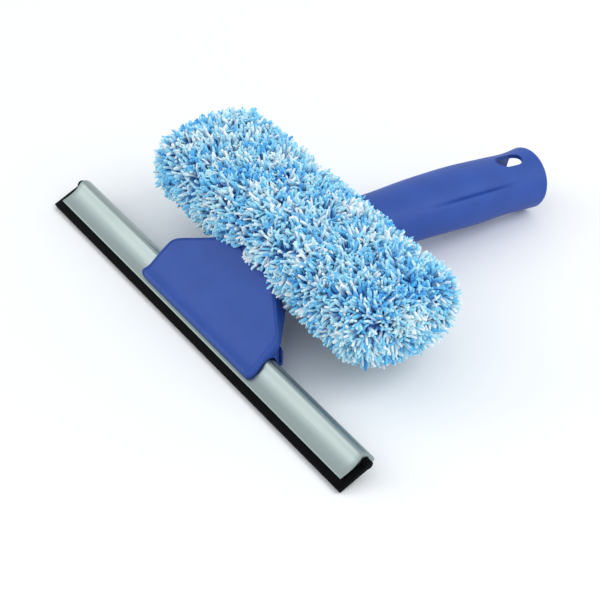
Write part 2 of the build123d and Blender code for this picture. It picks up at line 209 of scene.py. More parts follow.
def epdm_rubber(name, colour):
    """Moulded EPDM rubber: near black, soft sheen, a faint bloom of dust and a fine grain."""
    material, tree = blank_material(name)
    where = add_node(tree, "ShaderNodeTexCoord").outputs["Object"]
    dust = add_node(tree, "ShaderNodeTexNoise", {
        "Vector": where, "Scale": 1 / (5 * MM), "Detail": 5.0, "Roughness": 0.65})
    # the real grain is near 0.05 mm and is drawn at 0.25 mm to show
    grain = add_node(tree, "ShaderNodeTexNoise", {"Vector": where, "Scale": 1 / (0.25 * MM), "Detail": 2.0})
    tint = add_node(tree, "ShaderNodeValToRGB", {"Fac": dust.outputs["Fac"]},
                    ((0.45, tinted(colour, 1.0)), (0.85, tinted(colour, 4.0))))
    gloss = add_node(tree, "ShaderNodeMapRange", {
        "Value": dust.outputs["Fac"], "To Min": 0.45, "To Max": 0.60})
    relief = add_node(tree, "ShaderNodeBump", {
        "Height": grain.outputs["Fac"], "Strength": 0.2, "Distance": 0.03 * MM})
    return close_material(material, tree, {
        "Base Color": tint.outputs["Color"],
        "Roughness": gloss.outputs["Result"],
        "IOR": 1.52,
        "Specular IOR Level": 0.05,
        "Normal": relief.outputs["Normal"],
    })


def polyester_microfibre(name, yarns, shade):
    """Looped and cut polyester microfibre: sky blue, pale blue and off-white yarns side by side,
    matt with a soft sheen; the roots are painted a deeper blue as shade down between the tufts."""
    material, tree = blank_material(name)
    where = add_node(tree, "ShaderNodeTexCoord").outputs["Object"]
    tone = add_node(tree, "ShaderNodeAttribute", attribute_name="tone")
    reach = add_node(tree, "ShaderNodeAttribute", attribute_name="reach")
    # fibres are about 0.01 mm thick, so bundles of them are drawn, 0.5 mm across
    fibre = add_node(tree, "ShaderNodeTexNoise", {
        "Vector": where, "Scale": 1 / (0.5 * MM), "Detail": 4.0, "Roughness": 0.7})
    streak = add_node(tree, "ShaderNodeMapRange", {
        "Value": fibre.outputs["Fac"], "To Min": -0.16, "To Max": 0.16})
    wander = add_node(tree, "ShaderNodeMath", {0: tone.outputs["Fac"], 1: streak.outputs["Result"]},
                      operation="ADD")
    yarn = add_node(tree, "ShaderNodeValToRGB", {"Fac": wander.outputs["Value"]}, yarns)
    # sockets 6 and 7 of this node are its two colours: painted shade at the yarns' roots, the yarn's own
    # colour further out
    depth = add_node(tree, "ShaderNodeMix", {
        0: reach.outputs["Fac"], 6: shade, 7: yarn.outputs["Color"]}, data_type="RGBA")
    relief = add_node(tree, "ShaderNodeBump", {
        "Height": fibre.outputs["Fac"], "Strength": 0.5, "Distance": 0.15 * MM})
    return close_material(material, tree, {
        "Base Color": depth.outputs[2],
        "Roughness": 0.92,
        "IOR": 1.45,
        "Specular IOR Level": 0.25,
        "Sheen Weight": 0.25,
        "Sheen Roughness": 0.6,
        "Normal": relief.outputs["Normal"],
    })


def woven_polyester(name, colour, thread):
    """Plain woven polyester: over-and-under threads at their real spacing, matt."""
    material, tree = blank_material(name)
    where = add_node(tree, "ShaderNodeTexCoord").outputs["Object"]
    weave_inputs = {"Vector": where, "Scale": 0.31 / thread, "Distortion": 0.4, "Detail": 1.0}
    across = add_node(tree, "ShaderNodeTexWave", weave_inputs, bands_direction="X")
    along = add_node(tree, "ShaderNodeTexWave", weave_inputs, bands_direction="Y")
    weave = add_node(tree, "ShaderNodeMath", {0: across.outputs["Fac"], 1: along.outputs["Fac"]},
                     operation="MULTIPLY")
    tint = add_node(tree, "ShaderNodeValToRGB", {"Fac": weave.outputs["Value"]},
                    ((0.1, tinted(colour, 0.6)), (0.7, tinted(colour, 1.0))))
    relief = add_node(tree, "ShaderNodeBump", {
        "Height": weave.outputs["Value"], "Strength": 0.6, "Distance": 0.15 * MM})
    return close_material(material, tree, {
        "Base Color": tint.outputs["Color"],
        "Roughness": 0.85,
        "Sheen Weight": 0.15,
        "Normal": relief.outputs["Normal"],
    })


def zinc_plated_steel(name, colour):
    """Bright zinc plated steel screw: pale metal with a fine turned grain."""
    material, tree = blank_material(name)
    where = add_node(tree, "ShaderNodeTexCoord").outputs["Object"]
    # the plating's spangle is about 0.6 mm across
    spots = add_node(tree, "ShaderNodeTexNoise", {
        "Vector": where, "Scale": 1 / (0.6 * MM), "Detail": 4.0, "Roughness": 0.6})
    tint = add_node(tree, "ShaderNodeValToRGB", {"Fac": spots.outputs["Fac"]},
                    ((0.35, tinted(colour, 0.8)), (0.65, tinted(colour, 1.0))))
    gloss = add_node(tree, "ShaderNodeMapRange", {
        "Value": spots.outputs["Fac"], "To Min": 0.25, "To Max": 0.42})
    return close_material(material, tree, {
        "Base Color": tint.outputs["Color"],
        "Metallic": 1.0,
        "Roughness": gloss.outputs["Result"],
    })


# ---- mesh helpers ----

WELD = 1e-7                      # points nearer than this are one point


def set_out(name, data):
    """An object for a mesh, light or camera, linked to the scene."""
    made = bpy.data.objects.new(name, data)
    bpy.context.scene.collection.objects.link(made)
    return made


def new_piece(name, points, faces, material, body="frame", sharp=35.0):
    """A mesh piece in the row frame, smooth shaded with sharp edges past an angle."""
    mesh = bpy.data.meshes.new(name)
    mesh.from_pydata([tuple(p) for p in points], [], faces)
    work = bmesh.new()
    work.from_mesh(mesh)
    bmesh.ops.remove_doubles(work, verts=work.verts, dist=WELD)
    bmesh.ops.recalc_face_normals(work, faces=work.faces)
    work.to_mesh(mesh)
    work.free()
    mesh.shade_smooth()
    mesh.set_sharp_from_angle(angle=radians(sharp))
    mesh.materials.append(material)
    piece = set_out(name, mesh)
    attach(piece, body)
    return piece


def ring_faces(rings, count, closed=False):
    """Quads between rings of count points, and from the last ring to the first if closed."""
    faces = []
    for ring in range(rings if closed else rings - 1):
        a, b = ring * count, (ring + 1) % rings * count
        for i in range(count):
            j = (i + 1) % count
            faces.append((a + i, a + j, b + j, b + i))
    return faces


def cutter_prism(name, near, far, material):
    """A closed prism between two outlines, used only to cut."""
    count = len(near)
    faces = ring_faces(2, count)
    faces += [tuple(reversed(range(count))), tuple(range(count, 2 * count))]
    return new_piece(name, near + far, faces, material)


def settle_modifiers(piece, sharp=35.0):
    """Applies the piece's modifiers to its mesh."""
    bpy.context.view_layer.update()
    seen = piece.evaluated_get(bpy.context.evaluated_depsgraph_get())
    made = bpy.data.meshes.new_from_object(seen)
    made.name = piece.data.name
    piece.modifiers.clear()
    piece.data = made
    made.shade_smooth()
    made.set_sharp_from_angle(angle=radians(sharp))
    return piece


def cut_away(piece, cutter, sharp=35.0):
    """Cuts the cutter's volume out of a piece and removes the cutter."""
    cut = piece.modifiers.new("cut", "BOOLEAN")
    cut.operation = "DIFFERENCE"
    cut.solver = "EXACT"
    cut.object = cutter
    settle_modifiers(piece, sharp)
    bpy.data.objects.remove(cutter)
    return piece


def smooth_curve(points, count):
    """Points along a smooth curve through the given ones, evenly spread over its parameter."""
    knots = np.array(points, float)
    steps = np.linalg.norm(np.diff(knots, axis=0), axis=1)
    at = np.concatenate([[0], np.cumsum(steps)])
    slopes = np.gradient(knots, at, axis=0)
    wanted = np.linspace(0, at[-1], count)
    here = np.clip(np.searchsorted(at, wanted, side="right") - 1, 0, len(at) - 2)
    width = (at[here + 1] - at[here])[:, None]
    t = (wanted[:, None] - at[here][:, None]) / width
    p0, p1 = knots[here], knots[here + 1]
    m0, m1 = slopes[here] * width, slopes[here + 1] * width
    return ((2 * t**3 - 3 * t**2 + 1) * p0 + (t**3 - 2 * t**2 + t) * m0
            + (-2 * t**3 + 3 * t**2) * p1 + (t**3 - t**2) * m1)


def arc(centre, radius, start, stop, count):
    """Points on a circle's arc, angles in degrees."""
    turns = np.radians(np.linspace(start, stop, count))
    return [(centre[0] + radius * cos(a), centre[1] + radius * sin(a)) for a in turns]


def on_blade(x, along, height):
    """A point of the blade's own plane: along it from the rubber's edge, and off it."""
    y = BLADE_Y + along * cos(SLOPE) - height * sin(SLOPE)
    z = BLADE_Z + along * sin(SLOPE) + height * cos(SLOPE)
    return (x, y, z)


BAR_RINGS = 40                   # sections along the straight of the channel and rubber
BAR_MARGIN = 4 * MM              # from the last of them to the end


def blade_prism(name, outline, half_length, end_round, material, body):
    """A straight bar along X with the outline (along, height) in metres and rounded end edges."""
    stations = [-half_length, -half_length + end_round * 0.3, -half_length + end_round]
    stations += list(np.linspace(-half_length + BAR_MARGIN, half_length - BAR_MARGIN, BAR_RINGS))
    stations += [-s for s in reversed(stations[:3])]
    shrink = [end_round, end_round * 0.3, 0.0]
    insets = shrink + [0.0] * BAR_RINGS + shrink[::-1]
    loop = np.array(outline, float)
    ahead = np.roll(loop, -1, 0) - loop
    behind = loop - np.roll(loop, 1, 0)
    tangent = ahead / np.linalg.norm(ahead, axis=1)[:, None]
    tangent += behind / np.linalg.norm(behind, axis=1)[:, None]
    tangent /= np.linalg.norm(tangent, axis=1)[:, None]
    area = 0.5 * np.sum(loop[:, 0] * np.roll(loop[:, 1], -1) - np.roll(loop[:, 0], -1) * loop[:, 1])
    inward = np.stack([-tangent[:, 1], tangent[:, 0]], 1) * np.sign(area)
    points, count = [], len(loop)
    for x, inset in zip(stations, insets):
        points += [on_blade(x, *(p + n * inset)) for p, n in zip(loop, inward)]
    faces = ring_faces(len(stations), count)
    cap = tessellate_polygon([[Vector((p[0], p[1], 0)) for p in loop]])
    last = (len(stations) - 1) * count
    faces += [tuple(reversed(t)) for t in cap] + [tuple(last + i for i in t) for t in cap]
    return new_piece(name, points, faces, material, body, 30.0)


# ---- blade: rubber and channel ----

CHANNEL_FRONT, CHANNEL_REAR = 4.0 * MM, 22.4 * MM
CHANNEL_TOP, CHANNEL_BOTTOM = 2.6 * MM, -3.2 * MM
BEAD_ALONG, BEAD_RISE, BEAD_RADIUS = 17.8 * MM, 0.7 * MM, 2.3 * MM
BEAD_GAP = 0.06 * MM


# top of the extrusion: distance from its front, height over the strip's middle, in millimetres
CHANNEL_PROFILE = (
    (0.5, 2.6), (3.5, 2.40), (6.5, 2.45), (9.0, 2.85), (11.2, 3.65), (13.0, 4.55),
    (14.3, 4.88), (15.7, 4.45), (17.0, 3.05), (18.0, 1.0), (18.4, -1.2),
)


def channel_outline():
    """Section of the extrusion: hollow front, crest over the bead, closed back, slot for the rubber."""
    front = CHANNEL_FRONT
    top = smooth_curve(np.array(CHANNEL_PROFILE) * MM + (front, 0), 44)
    half_slot = RUBBER_THICKNESS / 2 + BEAD_GAP
    bead = BEAD_RADIUS + BEAD_GAP
    lower = np.degrees(np.arcsin((-half_slot - BEAD_RISE) / bead))
    upper = np.degrees(np.arcsin((half_slot - BEAD_RISE) / bead))
    outline = [tuple(p) for p in top]
    outline += arc((CHANNEL_REAR - 1.0 * MM, CHANNEL_BOTTOM + 1.0 * MM), 1.0 * MM, 0, -90, 6)
    outline += arc((front + 1.2 * MM, CHANNEL_BOTTOM + 0.6 * MM), 0.6 * MM, -90, -180, 5)
    outline += [(front + 0.6 * MM, -half_slot)]
    outline += arc((BEAD_ALONG, BEAD_RISE), bead, -180 - lower, -360 + lower, 2)[:1]
    outline += arc((BEAD_ALONG, BEAD_RISE), bead, -180 - lower, 180 - upper, 26)
    outline += [(front + 0.25 * MM, half_slot)]
    outline += arc((front + 0.5 * MM, CHANNEL_TOP - 0.5 * MM), 0.5 * MM, 180, 90, 5)[:-1]
    return outline


def rubber_outline():
    """Section of the blade rubber: strip with square edges just eased, and a round bead."""
    half = RUBBER_THICKNESS / 2
    ease = 0.18 * MM
    outline = arc((ease, half - ease), ease, 180, 90, 4)
    upper = np.degrees(np.arcsin((half - BEAD_RISE) / BEAD_RADIUS))
    lower = np.degrees(np.arcsin((-half - BEAD_RISE) / BEAD_RADIUS))
    outline += arc((BEAD_ALONG, BEAD_RISE), BEAD_RADIUS, 180 - upper, -180 - lower, 28)
    outline += arc((ease, -half + ease), ease, 270, 180, 4)
    return outline


# ---- holder ----

LIP_FRONT, SHOULDER, NECK_FRONT = 6.0 * MM, 29.2 * MM, 47.7 * MM
LIP_HALF, SHOULDER_HALF, NECK_HALF = 49.3 * MM, 48.6 * MM, 20.6 * MM
HOLDER_REAR = 38.0 * MM
JAW_TOP = CHANNEL_BOTTOM - BEAD_GAP
# top of the plate: distance behind the lip's front, height over the channel's front, in millimetres
HOLDER_PROFILE = (
    (0.02, 0.5), (0.25, 1.9), (1.7, 3.0), (3.2, 2.7), (5.4, 2.5),
    (8.6, 3.3), (13.6, 5.0), (23.2, 7.4), (41.7, 12.2), (45.7, 13.2),
)
# underside of the lip: distance behind the channel's front, height over the strip's middle
CLAMP_PROFILE = ((18.7, 0.0), (18.2, 3.6), (16.4, 4.9), (14.2, 5.3), (10.5, 4.0), (6.8, 2.8), (2.3, 2.68))
PLATE_EDGE = 3.2 * MM            # thickness of the plate's upright sides
CREST_END = 21 * MM              # the sides stop over the channel up to here
# the clamp block under the plate is narrower than the plate behind the channel
UNDER_START = 24.9 * MM
UNDER_LIMIT_ALONG = (25.0 * MM, 28.2 * MM, NECK_FRONT - 3 * MM, 60 * MM)
UNDER_LIMIT_HALF = (LIP_HALF - 1 * MM, LIP_HALF - 8 * MM, NECK_HALF + 1 * MM, NECK_HALF + 1 * MM)


def holder_half_width(along):
    """Half width of the holder in plan: round lip corners, straight sides, taper to the neck."""
    corner = 3.0 * MM
    straight = LIP_HALF + (SHOULDER_HALF - LIP_HALF) * (along - LIP_FRONT) / (SHOULDER - LIP_FRONT)
    taper = SHOULDER_HALF + (NECK_HALF - SHOULDER_HALF) * (along - SHOULDER) / (NECK_FRONT - SHOULDER)
    blend = 2.2 * MM
    low = np.minimum(straight, taper)
    near = np.clip(1 - np.abs(straight - taper) / (2 * blend), 0, 1)
    width = np.maximum(low - near**2 * blend * 0.5, NECK_HALF)
    into = np.clip(corner - (along - LIP_FRONT), 0, corner)
    return width - corner + np.sqrt(np.maximum(corner**2 - into**2, 0))


def clamp_curve():
    """Underside of the lip, close over the channel's crest."""
    return smooth_curve(np.array(CLAMP_PROFILE) * MM + (CHANNEL_FRONT, 0), 26)


def holder_outline():
    """Side section of the holder: (along, height, 1 on the top surface), in metres."""
    top = smooth_curve(np.array(HOLDER_PROFILE) * MM + (LIP_FRONT, CHANNEL_TOP), 64)
    rows = [(u, n, 1) for u, n in top]
    tail, block = NECK_FRONT + 4 * MM, SHOULDER + 2 * MM
    for along in (tail, NECK_FRONT - 3 * MM, 36 * MM, block):
        rise = (along - block) / (tail - block)
        rows.append((along, JAW_TOP + rise * (2.0 * MM - JAW_TOP), 0))
    rows += [(along, JAW_TOP, 0) for along in UNDER_LIMIT_ALONG[1::-1]]
    rows += [(CHANNEL_REAR + 0.3 * MM, JAW_TOP, 0)]
    rows += [(u, n, 0) for u, n in clamp_curve()]
    return rows


def plate_bottom(along, height):
    """Height at which the plate's upright side ends, under a point of its top surface."""
    curve = clamp_curve()[::-1]
    over_channel = np.interp(along, curve[:-4, 0], curve[:-4, 1]) + 0.05 * MM
    return over_channel if along < CREST_END else height - PLATE_EDGE


def build_holder(material, rim, edge):
    """The holder's shell, with rolled side rims, cut square behind where the hub begins."""
    rows = holder_outline()
    turns = np.radians([90, 72, 54, 36, 18, 0])
    inward = np.linspace(0, 1, 24)[1:] ** 2.2
    columns = [("wall", -1, 0)] + [("edge", -1, a) for a in turns]
    columns += [("mid", -1 + t, 0) for t in inward] + [("mid", 1 - t, 0) for t in inward[-2::-1]]
    columns += [("edge", 1, a) for a in turns[::-1]] + [("wall", 1, 0)]
    points, faces = [], []
    for kind, s, a in columns:
        for along, height, is_top in rows:
            half = float(holder_half_width(along))
            drop = 0.0
            if kind == "mid":
                x = s * (half - edge)
                inset = (half - edge) * (1 - abs(s))
                drop = rim * np.exp(-((inset - 0.6 * MM) / (0.8 * MM)) ** 2)
            else:
                x = s * (half - edge + edge * (1 if kind == "wall" else sin(a)))
                drop = edge * (1 - cos(a)) if kind == "edge" else 1.0
            if is_top:
                drop = min(drop, height - plate_bottom(along, height))
            else:
                drop = 0.0
                limit = half
                if along > UNDER_START:
                    limit = np.interp(along, UNDER_LIMIT_ALONG, UNDER_LIMIT_HALF)
                x = min(max(x, -limit), limit)
            points.append(on_blade(x, along, height - drop))
    count = len(rows)
    for column in range(len(columns) - 1):
        for i in range(count):
            j = (i + 1) % count
            a, b = column * count, (column + 1) * count
            faces.append((a + i, b + i, b + j, a + j))
    for end in (0, len(columns) - 1):
        ring = [end * count + i for i in range(count)]
        flat = [Vector((r[0], plate_bottom(r[0], r[1]) if r[2] else r[1], 0)) for r in rows]
        for t in tessellate_polygon([flat]):
            faces.append(tuple(ring[i] for i in t))
    piece = new_piece("holder_shell", points, faces, material)
    rear = cad_low[1] + HOLDER_REAR
    box = box_piece("holder_rear_cut", (0, rear + 0.03, 0.03), (0.12, 0.06, 0.12), material)
    return cut_away(piece, box, 32.0)


def box_piece(name, centre, size, material):
    """A plain box used only as a cutter."""
    mesh = bpy.data.meshes.new(name)
    work = bmesh.new()
    stretch = Matrix.Translation(centre) @ Matrix.Diagonal((*size, 1))
    bmesh.ops.create_cube(work, size=1.0, matrix=stretch)
    work.to_mesh(mesh)
    work.free()
    mesh.materials.append(material)
    return set_out(name, mesh)


# ---- grip ----

GRIP_START, GRIP_STOP = 100.3 * MM, 216 * MM
TILT_START = 150 * MM            # the open end's lean grows from here to the rim
GROOVE_START, GROOVE_STOP = 134 * MM, 201 * MM
GROOVE_FADE = 22 * MM
CREASE_WIDTH, DISH_WIDTH = radians(2.6), radians(12)
DISH_SHARE = 0.45                # depth of the dish above the crease, of the groove's depth


def grip_at(y):
    """Axis height, half width and half height of the grip at a distance from the rubber's edge."""
    rows = np.array(GRIP_STATIONS) * MM
    smooth = smooth_curve(rows, 400)
    return [np.interp(y, smooth[:, 0], smooth[:, k]) for k in (1, 2, 3)]


def grip_ring(y, inset, sides, groove):
    """One ring of points round the grip, inset from its outer surface, with the flank grooves."""
    rim_top = (GRIP_STATIONS[-1][1] + GRIP_STATIONS[-1][3]) * MM
    tilt = np.tan(GRIP_END_TILT) * np.clip((y - TILT_START) / (GRIP_STOP - TILT_START), 0, 1) ** 2
    ring = []
    for i in range(sides):
        a = 2 * pi * i / sides
        axis, half_width, half_height = grip_at(y)
        across = y - tilt * (rim_top - axis - half_height * sin(a))
        axis, half_width, half_height = grip_at(across)
        fade = np.clip((across - GROOVE_START) / GROOVE_FADE, 0, 1)
        fade *= np.clip((GROOVE_STOP - across) / GROOVE_FADE, 0, 1)
        flank = min(a, pi - a) - GROOVE_TURN if a < pi else 9
        line = np.exp(-(flank / CREASE_WIDTH) ** 2)
        dip = DISH_SHARE * (np.exp(-(flank / DISH_WIDTH) ** 2) if flank > 0 else line)
        sink = groove * fade * (line + dip)
        x = (half_width - inset - sink) * cos(a)
        z = max(axis + (half_height - inset - sink) * sin(a), inset * 0.2)
        ring.append((x, cad_low[1] + across, z))
    return ring


def build_grip(material, groove):
    """The hollow grip: outer skin, rounded open end, inner skin and the hanging hole."""
    sides = 240
    rim = GRIP_WALL / 2
    last = GRIP_STOP - rim
    rings = [grip_ring(y, 0.0, sides, groove) for y in np.linspace(GRIP_START, last, 90)]
    for turn in np.radians(np.linspace(15, 165, 9)):
        inset = rim * (1 - cos(turn))
        rings.append(grip_ring(last + rim * sin(turn), inset, sides, 0.0))
    rings += [grip_ring(y, GRIP_WALL, sides, 0.0) for y in np.linspace(last, GRIP_START, 40)]
    points = [p for ring in rings for p in ring]
    piece = new_piece("handle_shell", points, ring_faces(len(rings), sides, True), material)
    half_straight = (HOLE_LENGTH - HOLE_WIDTH) / 2
    outline = arc((0, half_straight), HOLE_WIDTH / 2, 0, 180, 17)
    outline += arc((0, -half_straight), HOLE_WIDTH / 2, 180, 360, 17)
    near, far = ([(x, cad_low[1] + HOLE_Y + y, z) for x, y in outline] for z in (-10 * MM, 50 * MM))
    return cut_away(piece, cutter_prism("hole_cutter", near, far, material), 40.0)


# ---- washer sleeve ----

ROLL_POWER = 0.74                # 1 is an ellipse, less is nearer a rounded rectangle
END_ROUND = 9 * MM               # rounding of the roll's ends under the pile
HUB_HALF = 22 * MM               # half width of the opening round the hub

def hub_top(y):
    """Height of the holder and hub under the sleeve at a distance from the rubber's edge."""
    rows = np.array(HUB_TOP) * MM
    return np.interp(y, rows[:, 0], rows[:, 1])


def roll_rings(inset, end_round, spacing):
    """Rings of the roll from end to end: x, scale in Y and Z, and how far the normal leans to X."""
    half = PILE_HALF[0] - inset
    a, b = PILE_HALF[1] - inset, PILE_HALF[2] - inset
    rings = []
    for t in np.linspace(0.06, 1, max(2, int((a - end_round) / spacing))):
        rings.append((half, t * (a - end_round), t * (b - end_round), 1.0))
    steps = max(3, int(end_round * pi / 2 / (0.75 * spacing)))
    for turn in np.linspace(0, pi / 2, steps + 1)[1:]:
        r = end_round
        rings.append((half - r + r * cos(turn), a - r + r * sin(turn), b - r + r * sin(turn), cos(turn)))
    straight = 2 * (half - end_round)
    count = max(2, int(straight / spacing))
    middle = [(half - end_round - straight * k / count, a, b, 0.0) for k in range(1, count)]
    back = [(-x, ya, zb, -lean) for x, ya, zb, lean in reversed(rings)]
    return rings + middle + back


def section_point(turn, a, b):
    """Point and outward normal of the roll's section at a turn."""
    c, s = np.cos(turn), np.sin(turn)
    y = a * np.sign(c) * np.abs(c) ** ROLL_POWER
    z = b * np.sign(s) * np.abs(s) ** ROLL_POWER
    power = 2 / ROLL_POWER - 1
    ny = np.sign(y) * np.abs(y / a) ** power / a
    nz = np.sign(z) * np.abs(z / b) ** power / b
    size = np.sqrt(ny**2 + nz**2) + 1e-9
    return y, z, ny / size, nz / size


def even_turns(a, b, count):
    """Turns that spread points evenly round the section."""
    turns = np.linspace(0, 2 * pi, 361)
    y, z, _, _ = section_point(turns, a, b)
    length = np.concatenate([[0], np.cumsum(np.hypot(np.diff(y), np.diff(z)))])
    return np.interp(np.linspace(0, length[-1], count, endpoint=False), length, turns), length[-1]


BED_TONE, BED_REACH = 0.2, 0.1   # the bed takes the same painted shade as the yarns' roots
BED_SWAY, SWAY_TURN = 0.5 * MM, 95  # the roll waves up and down a little, radians per metre


def point_value(mesh, name, values):
    """Stores a number at each point of a mesh, for the pile's material."""
    layer = mesh.attributes.new(name, "FLOAT", "POINT")
    layer.data.foreach_set("value", values.astype(np.float32))


def build_sleeve_bed(material, inset):
    """The dense base of the pile: a soft roll, opened underneath for the hub."""
    sides = 96
    points = []
    rings = roll_rings(inset, END_ROUND, 3 * MM)
    for x, a, b, _ in rings:
        turns, _ = even_turns(a, b, sides)
        y, z, _, _ = section_point(turns, a, b)
        sway = BED_SWAY * sin(x * SWAY_TURN + 1.0)
        points += [(x, PILE_CENTRE[1] + yy, PILE_CENTRE[2] + zz + sway) for yy, zz in zip(y, z)]
    faces = ring_faces(len(rings), sides)
    faces.append(tuple(range(sides)))
    faces.append(tuple(reversed(range((len(rings) - 1) * sides, len(rings) * sides))))
    bed = new_piece("sleeve_bed", points, faces, material)
    gap = 1.0 * MM
    profile = [(25 * MM, 0.0), (25 * MM, 22.2 * MM)]
    profile += [(y * MM, z * MM + gap) for y, z in HUB_TOP]
    profile += [(120 * MM, 0.0)]
    near, far = ([(x, cad_low[1] + y, z) for y, z in profile] for x in (-HUB_HALF, HUB_HALF))
    cut_away(bed, cutter_prism("hub_cutter", near, far, material), 40.0)
    count = len(bed.data.vertices)
    point_value(bed.data, "tone", np.full(count, BED_TONE))
    point_value(bed.data, "reach", np.full(count, BED_REACH))
    return bed


def slow_waves(points, size, rng, count=7):
    """Smooth pseudo-noise from a few waves, about -1..1, with features about size across."""
    total = np.zeros(len(points))
    for _ in range(count):
        direction = rng.normal(size=3)
        direction *= (0.6 + 0.8 * rng.random()) * 2 * pi / size / np.linalg.norm(direction)
        total += np.sin(points @ direction + rng.random() * 2 * pi)
    return total / sqrt(count)


def tuft_roots(inset, spacing, rng):
    """Roots and outward directions of the yarns, spread over the roll and clear of the hub."""
    roots, outs = [], []
    for x, a, b, lean in roll_rings(inset, END_ROUND, spacing):
        _, length = even_turns(a, b, 8)
        crowd = 1.3 if 0.1 < abs(lean) < 0.99 else 1.0  # yarns fan out and thin on the round ends
        count = max(5, int(length / spacing * crowd))
        turns, _ = even_turns(a, b, count)
        turns = turns + (rng.random(count) - 0.5) * 1.1 * 2 * pi / count + rng.random() * 2 * pi / count
        y, z, ny, nz = section_point(turns, a, b)
        flat = sqrt(max(0.0, 1 - lean**2))
        jitter = (rng.random(count) - 0.5) * spacing * 0.9 * (1 - abs(lean))
        fan = 0.35 * lean**2
        roots.append(np.stack([x + jitter, PILE_CENTRE[1] + y, PILE_CENTRE[2] + z], 1))
        outs.append(np.stack([np.full(count, lean), ny * (flat + fan), nz * (flat + fan)], 1))
    roots, outs = np.concatenate(roots), np.concatenate(outs)
    outs /= np.linalg.norm(outs, axis=1)[:, None]
    from_edge = roots[:, 1] - cad_low[1]
    over_hub = np.abs(roots[:, 0]) < HUB_HALF + 1 * MM
    over_hub &= roots[:, 2] < hub_top(from_edge) + 1.5 * MM
    margin = 1 * MM
    strap_low, strap_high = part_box("sleeve_strap")
    on_strap = (roots[:, 0] > strap_low[0] - margin) & (roots[:, 0] < strap_high[0] + margin)
    on_strap &= (roots[:, 1] > strap_low[1] - margin) & (roots[:, 1] < strap_high[1] + margin)
    on_strap &= roots[:, 2] < PILE_CENTRE[2]
    keep = ~(over_hub | on_strap)
    return roots[keep], outs[keep]


HOLDER_UNDER = ((30 * MM, 40 * MM), (30 * MM, 21 * MM))  # holder's half width under the sleeve
SLEEVE_REAR = 98 * MM            # from here on the yarns meet the grip
YARN_DEPTH = 9 * MM              # yarns this far under the plastic's top are laid on it


def clear_of_plastic(points):
    """Lays yarn that would sink into the holder, hub or grip on its surface instead."""
    from_edge = points[:, 1] - cad_low[1]
    top = hub_top(from_edge) + 0.5 * MM
    reach = np.interp(from_edge, *HOLDER_UNDER)
    under = (np.abs(points[:, 0]) < reach) & (points[:, 2] < top) & (points[:, 2] > top - YARN_DEPTH)
    under &= (from_edge > 26 * MM) & (from_edge < SLEEVE_REAR)
    points[under, 2] = top[under]
    axis, half_width, half_height = grip_at(from_edge)
    across = points[:, 0] / (half_width + 0.4 * MM)
    up = (points[:, 2] - axis) / (half_height + 0.4 * MM)
    inside = (from_edge >= SLEEVE_REAR) & (across**2 + up**2 < 1)
    push = 1 / np.sqrt(np.maximum(across**2 + up**2, 0.05))
    points[inside, 0] = (points[:, 0] * push)[inside]
    points[inside, 2] = (axis + (points[:, 2] - axis) * push)[inside]
    return points


# one yarn: rings of points and a pointed tip, swollen near the end and flattened a little
YARN_RINGS, YARN_SIDES = 6, 6
YARN_SWELL = np.array([0.70, 0.88, 1.0, 1.08, 1.04, 0.74])
YARN_FLATNESS = 0.72
YARN_POINTS = YARN_RINGS * YARN_SIDES + 1
YARN_TWIST = 1.6                 # turn of the section along a yarn, radians
LENGTH_SPREAD = 0.24             # from the shortest to the longest yarn, as a share of the mean
LENGTH_WAVE, LENGTH_PATCH = 0.05, 22 * MM
YARN_LEAN = 0.42                 # each yarn's own lean and curl, and the comb it shares nearby
YARN_CURL = 0.55
COMB_WAVE, COMB_PATCH = 0.38, 16 * MM
DROOP = np.array([0, 0, -0.15])
CLUMP_SHARE = 0.16               # of the yarns, how many are the middle of a clump
CLUMP_PULL = 0.30                # how far the tips lean to the middle of their clump


# a yarn's tone, from 0, blue, to 1, white: the middle, and how much its patch, clump and self add
TONE_MIDDLE, TONE_OF_PATCH, TONE_OF_CLUMP, TONE_OF_YARN = 0.53, 0.13, 0.36, 0.62
TONE_PATCH = 14 * MM


def unit(vectors):
    """Vectors of length one."""
    return vectors / (np.linalg.norm(vectors, axis=-1)[..., None] + 1e-12)


def yarn_faces():
    """Quads and tip triangles of one yarn."""
    quads = ring_faces(YARN_RINGS, YARN_SIDES)
    last = YARN_POINTS - 1 - YARN_SIDES
    ends = [(last + i, last + (i + 1) % YARN_SIDES, YARN_POINTS - 1) for i in range(YARN_SIDES)]
    return np.array(quads), np.array(ends)


def yarn_strip(name, points, tone, reach, material):
    """One strip of the pile as a mesh piece."""
    quads, ends = yarn_faces()
    base = (np.arange(len(points)) * YARN_POINTS)[:, None, None]
    four, three = (base + quads).reshape(-1, 4), (base + ends).reshape(-1, 3)
    mesh = bpy.data.meshes.new(name)
    mesh.vertices.add(len(points) * YARN_POINTS)
    mesh.vertices.foreach_set("co", points.astype(np.float32).ravel())
    mesh.loops.add(four.size + three.size)
    corners = np.concatenate([four.ravel(), three.ravel()])
    mesh.loops.foreach_set("vertex_index", corners.astype(np.int32))
    mesh.polygons.add(len(four) + len(three))
    starts = np.concatenate([np.arange(len(four)) * 4, four.size + np.arange(len(three)) * 3])
    mesh.polygons.foreach_set("loop_start", starts.astype(np.int32))
    mesh.update(calc_edges=True)
    mesh.validate()
    mesh.shade_smooth()
    point_value(mesh, "tone", np.repeat(tone, YARN_POINTS))
    point_value(mesh, "reach", np.tile(reach, len(points)))
    mesh.materials.append(material)
    piece = set_out(name, mesh)
    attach(piece, "frame")


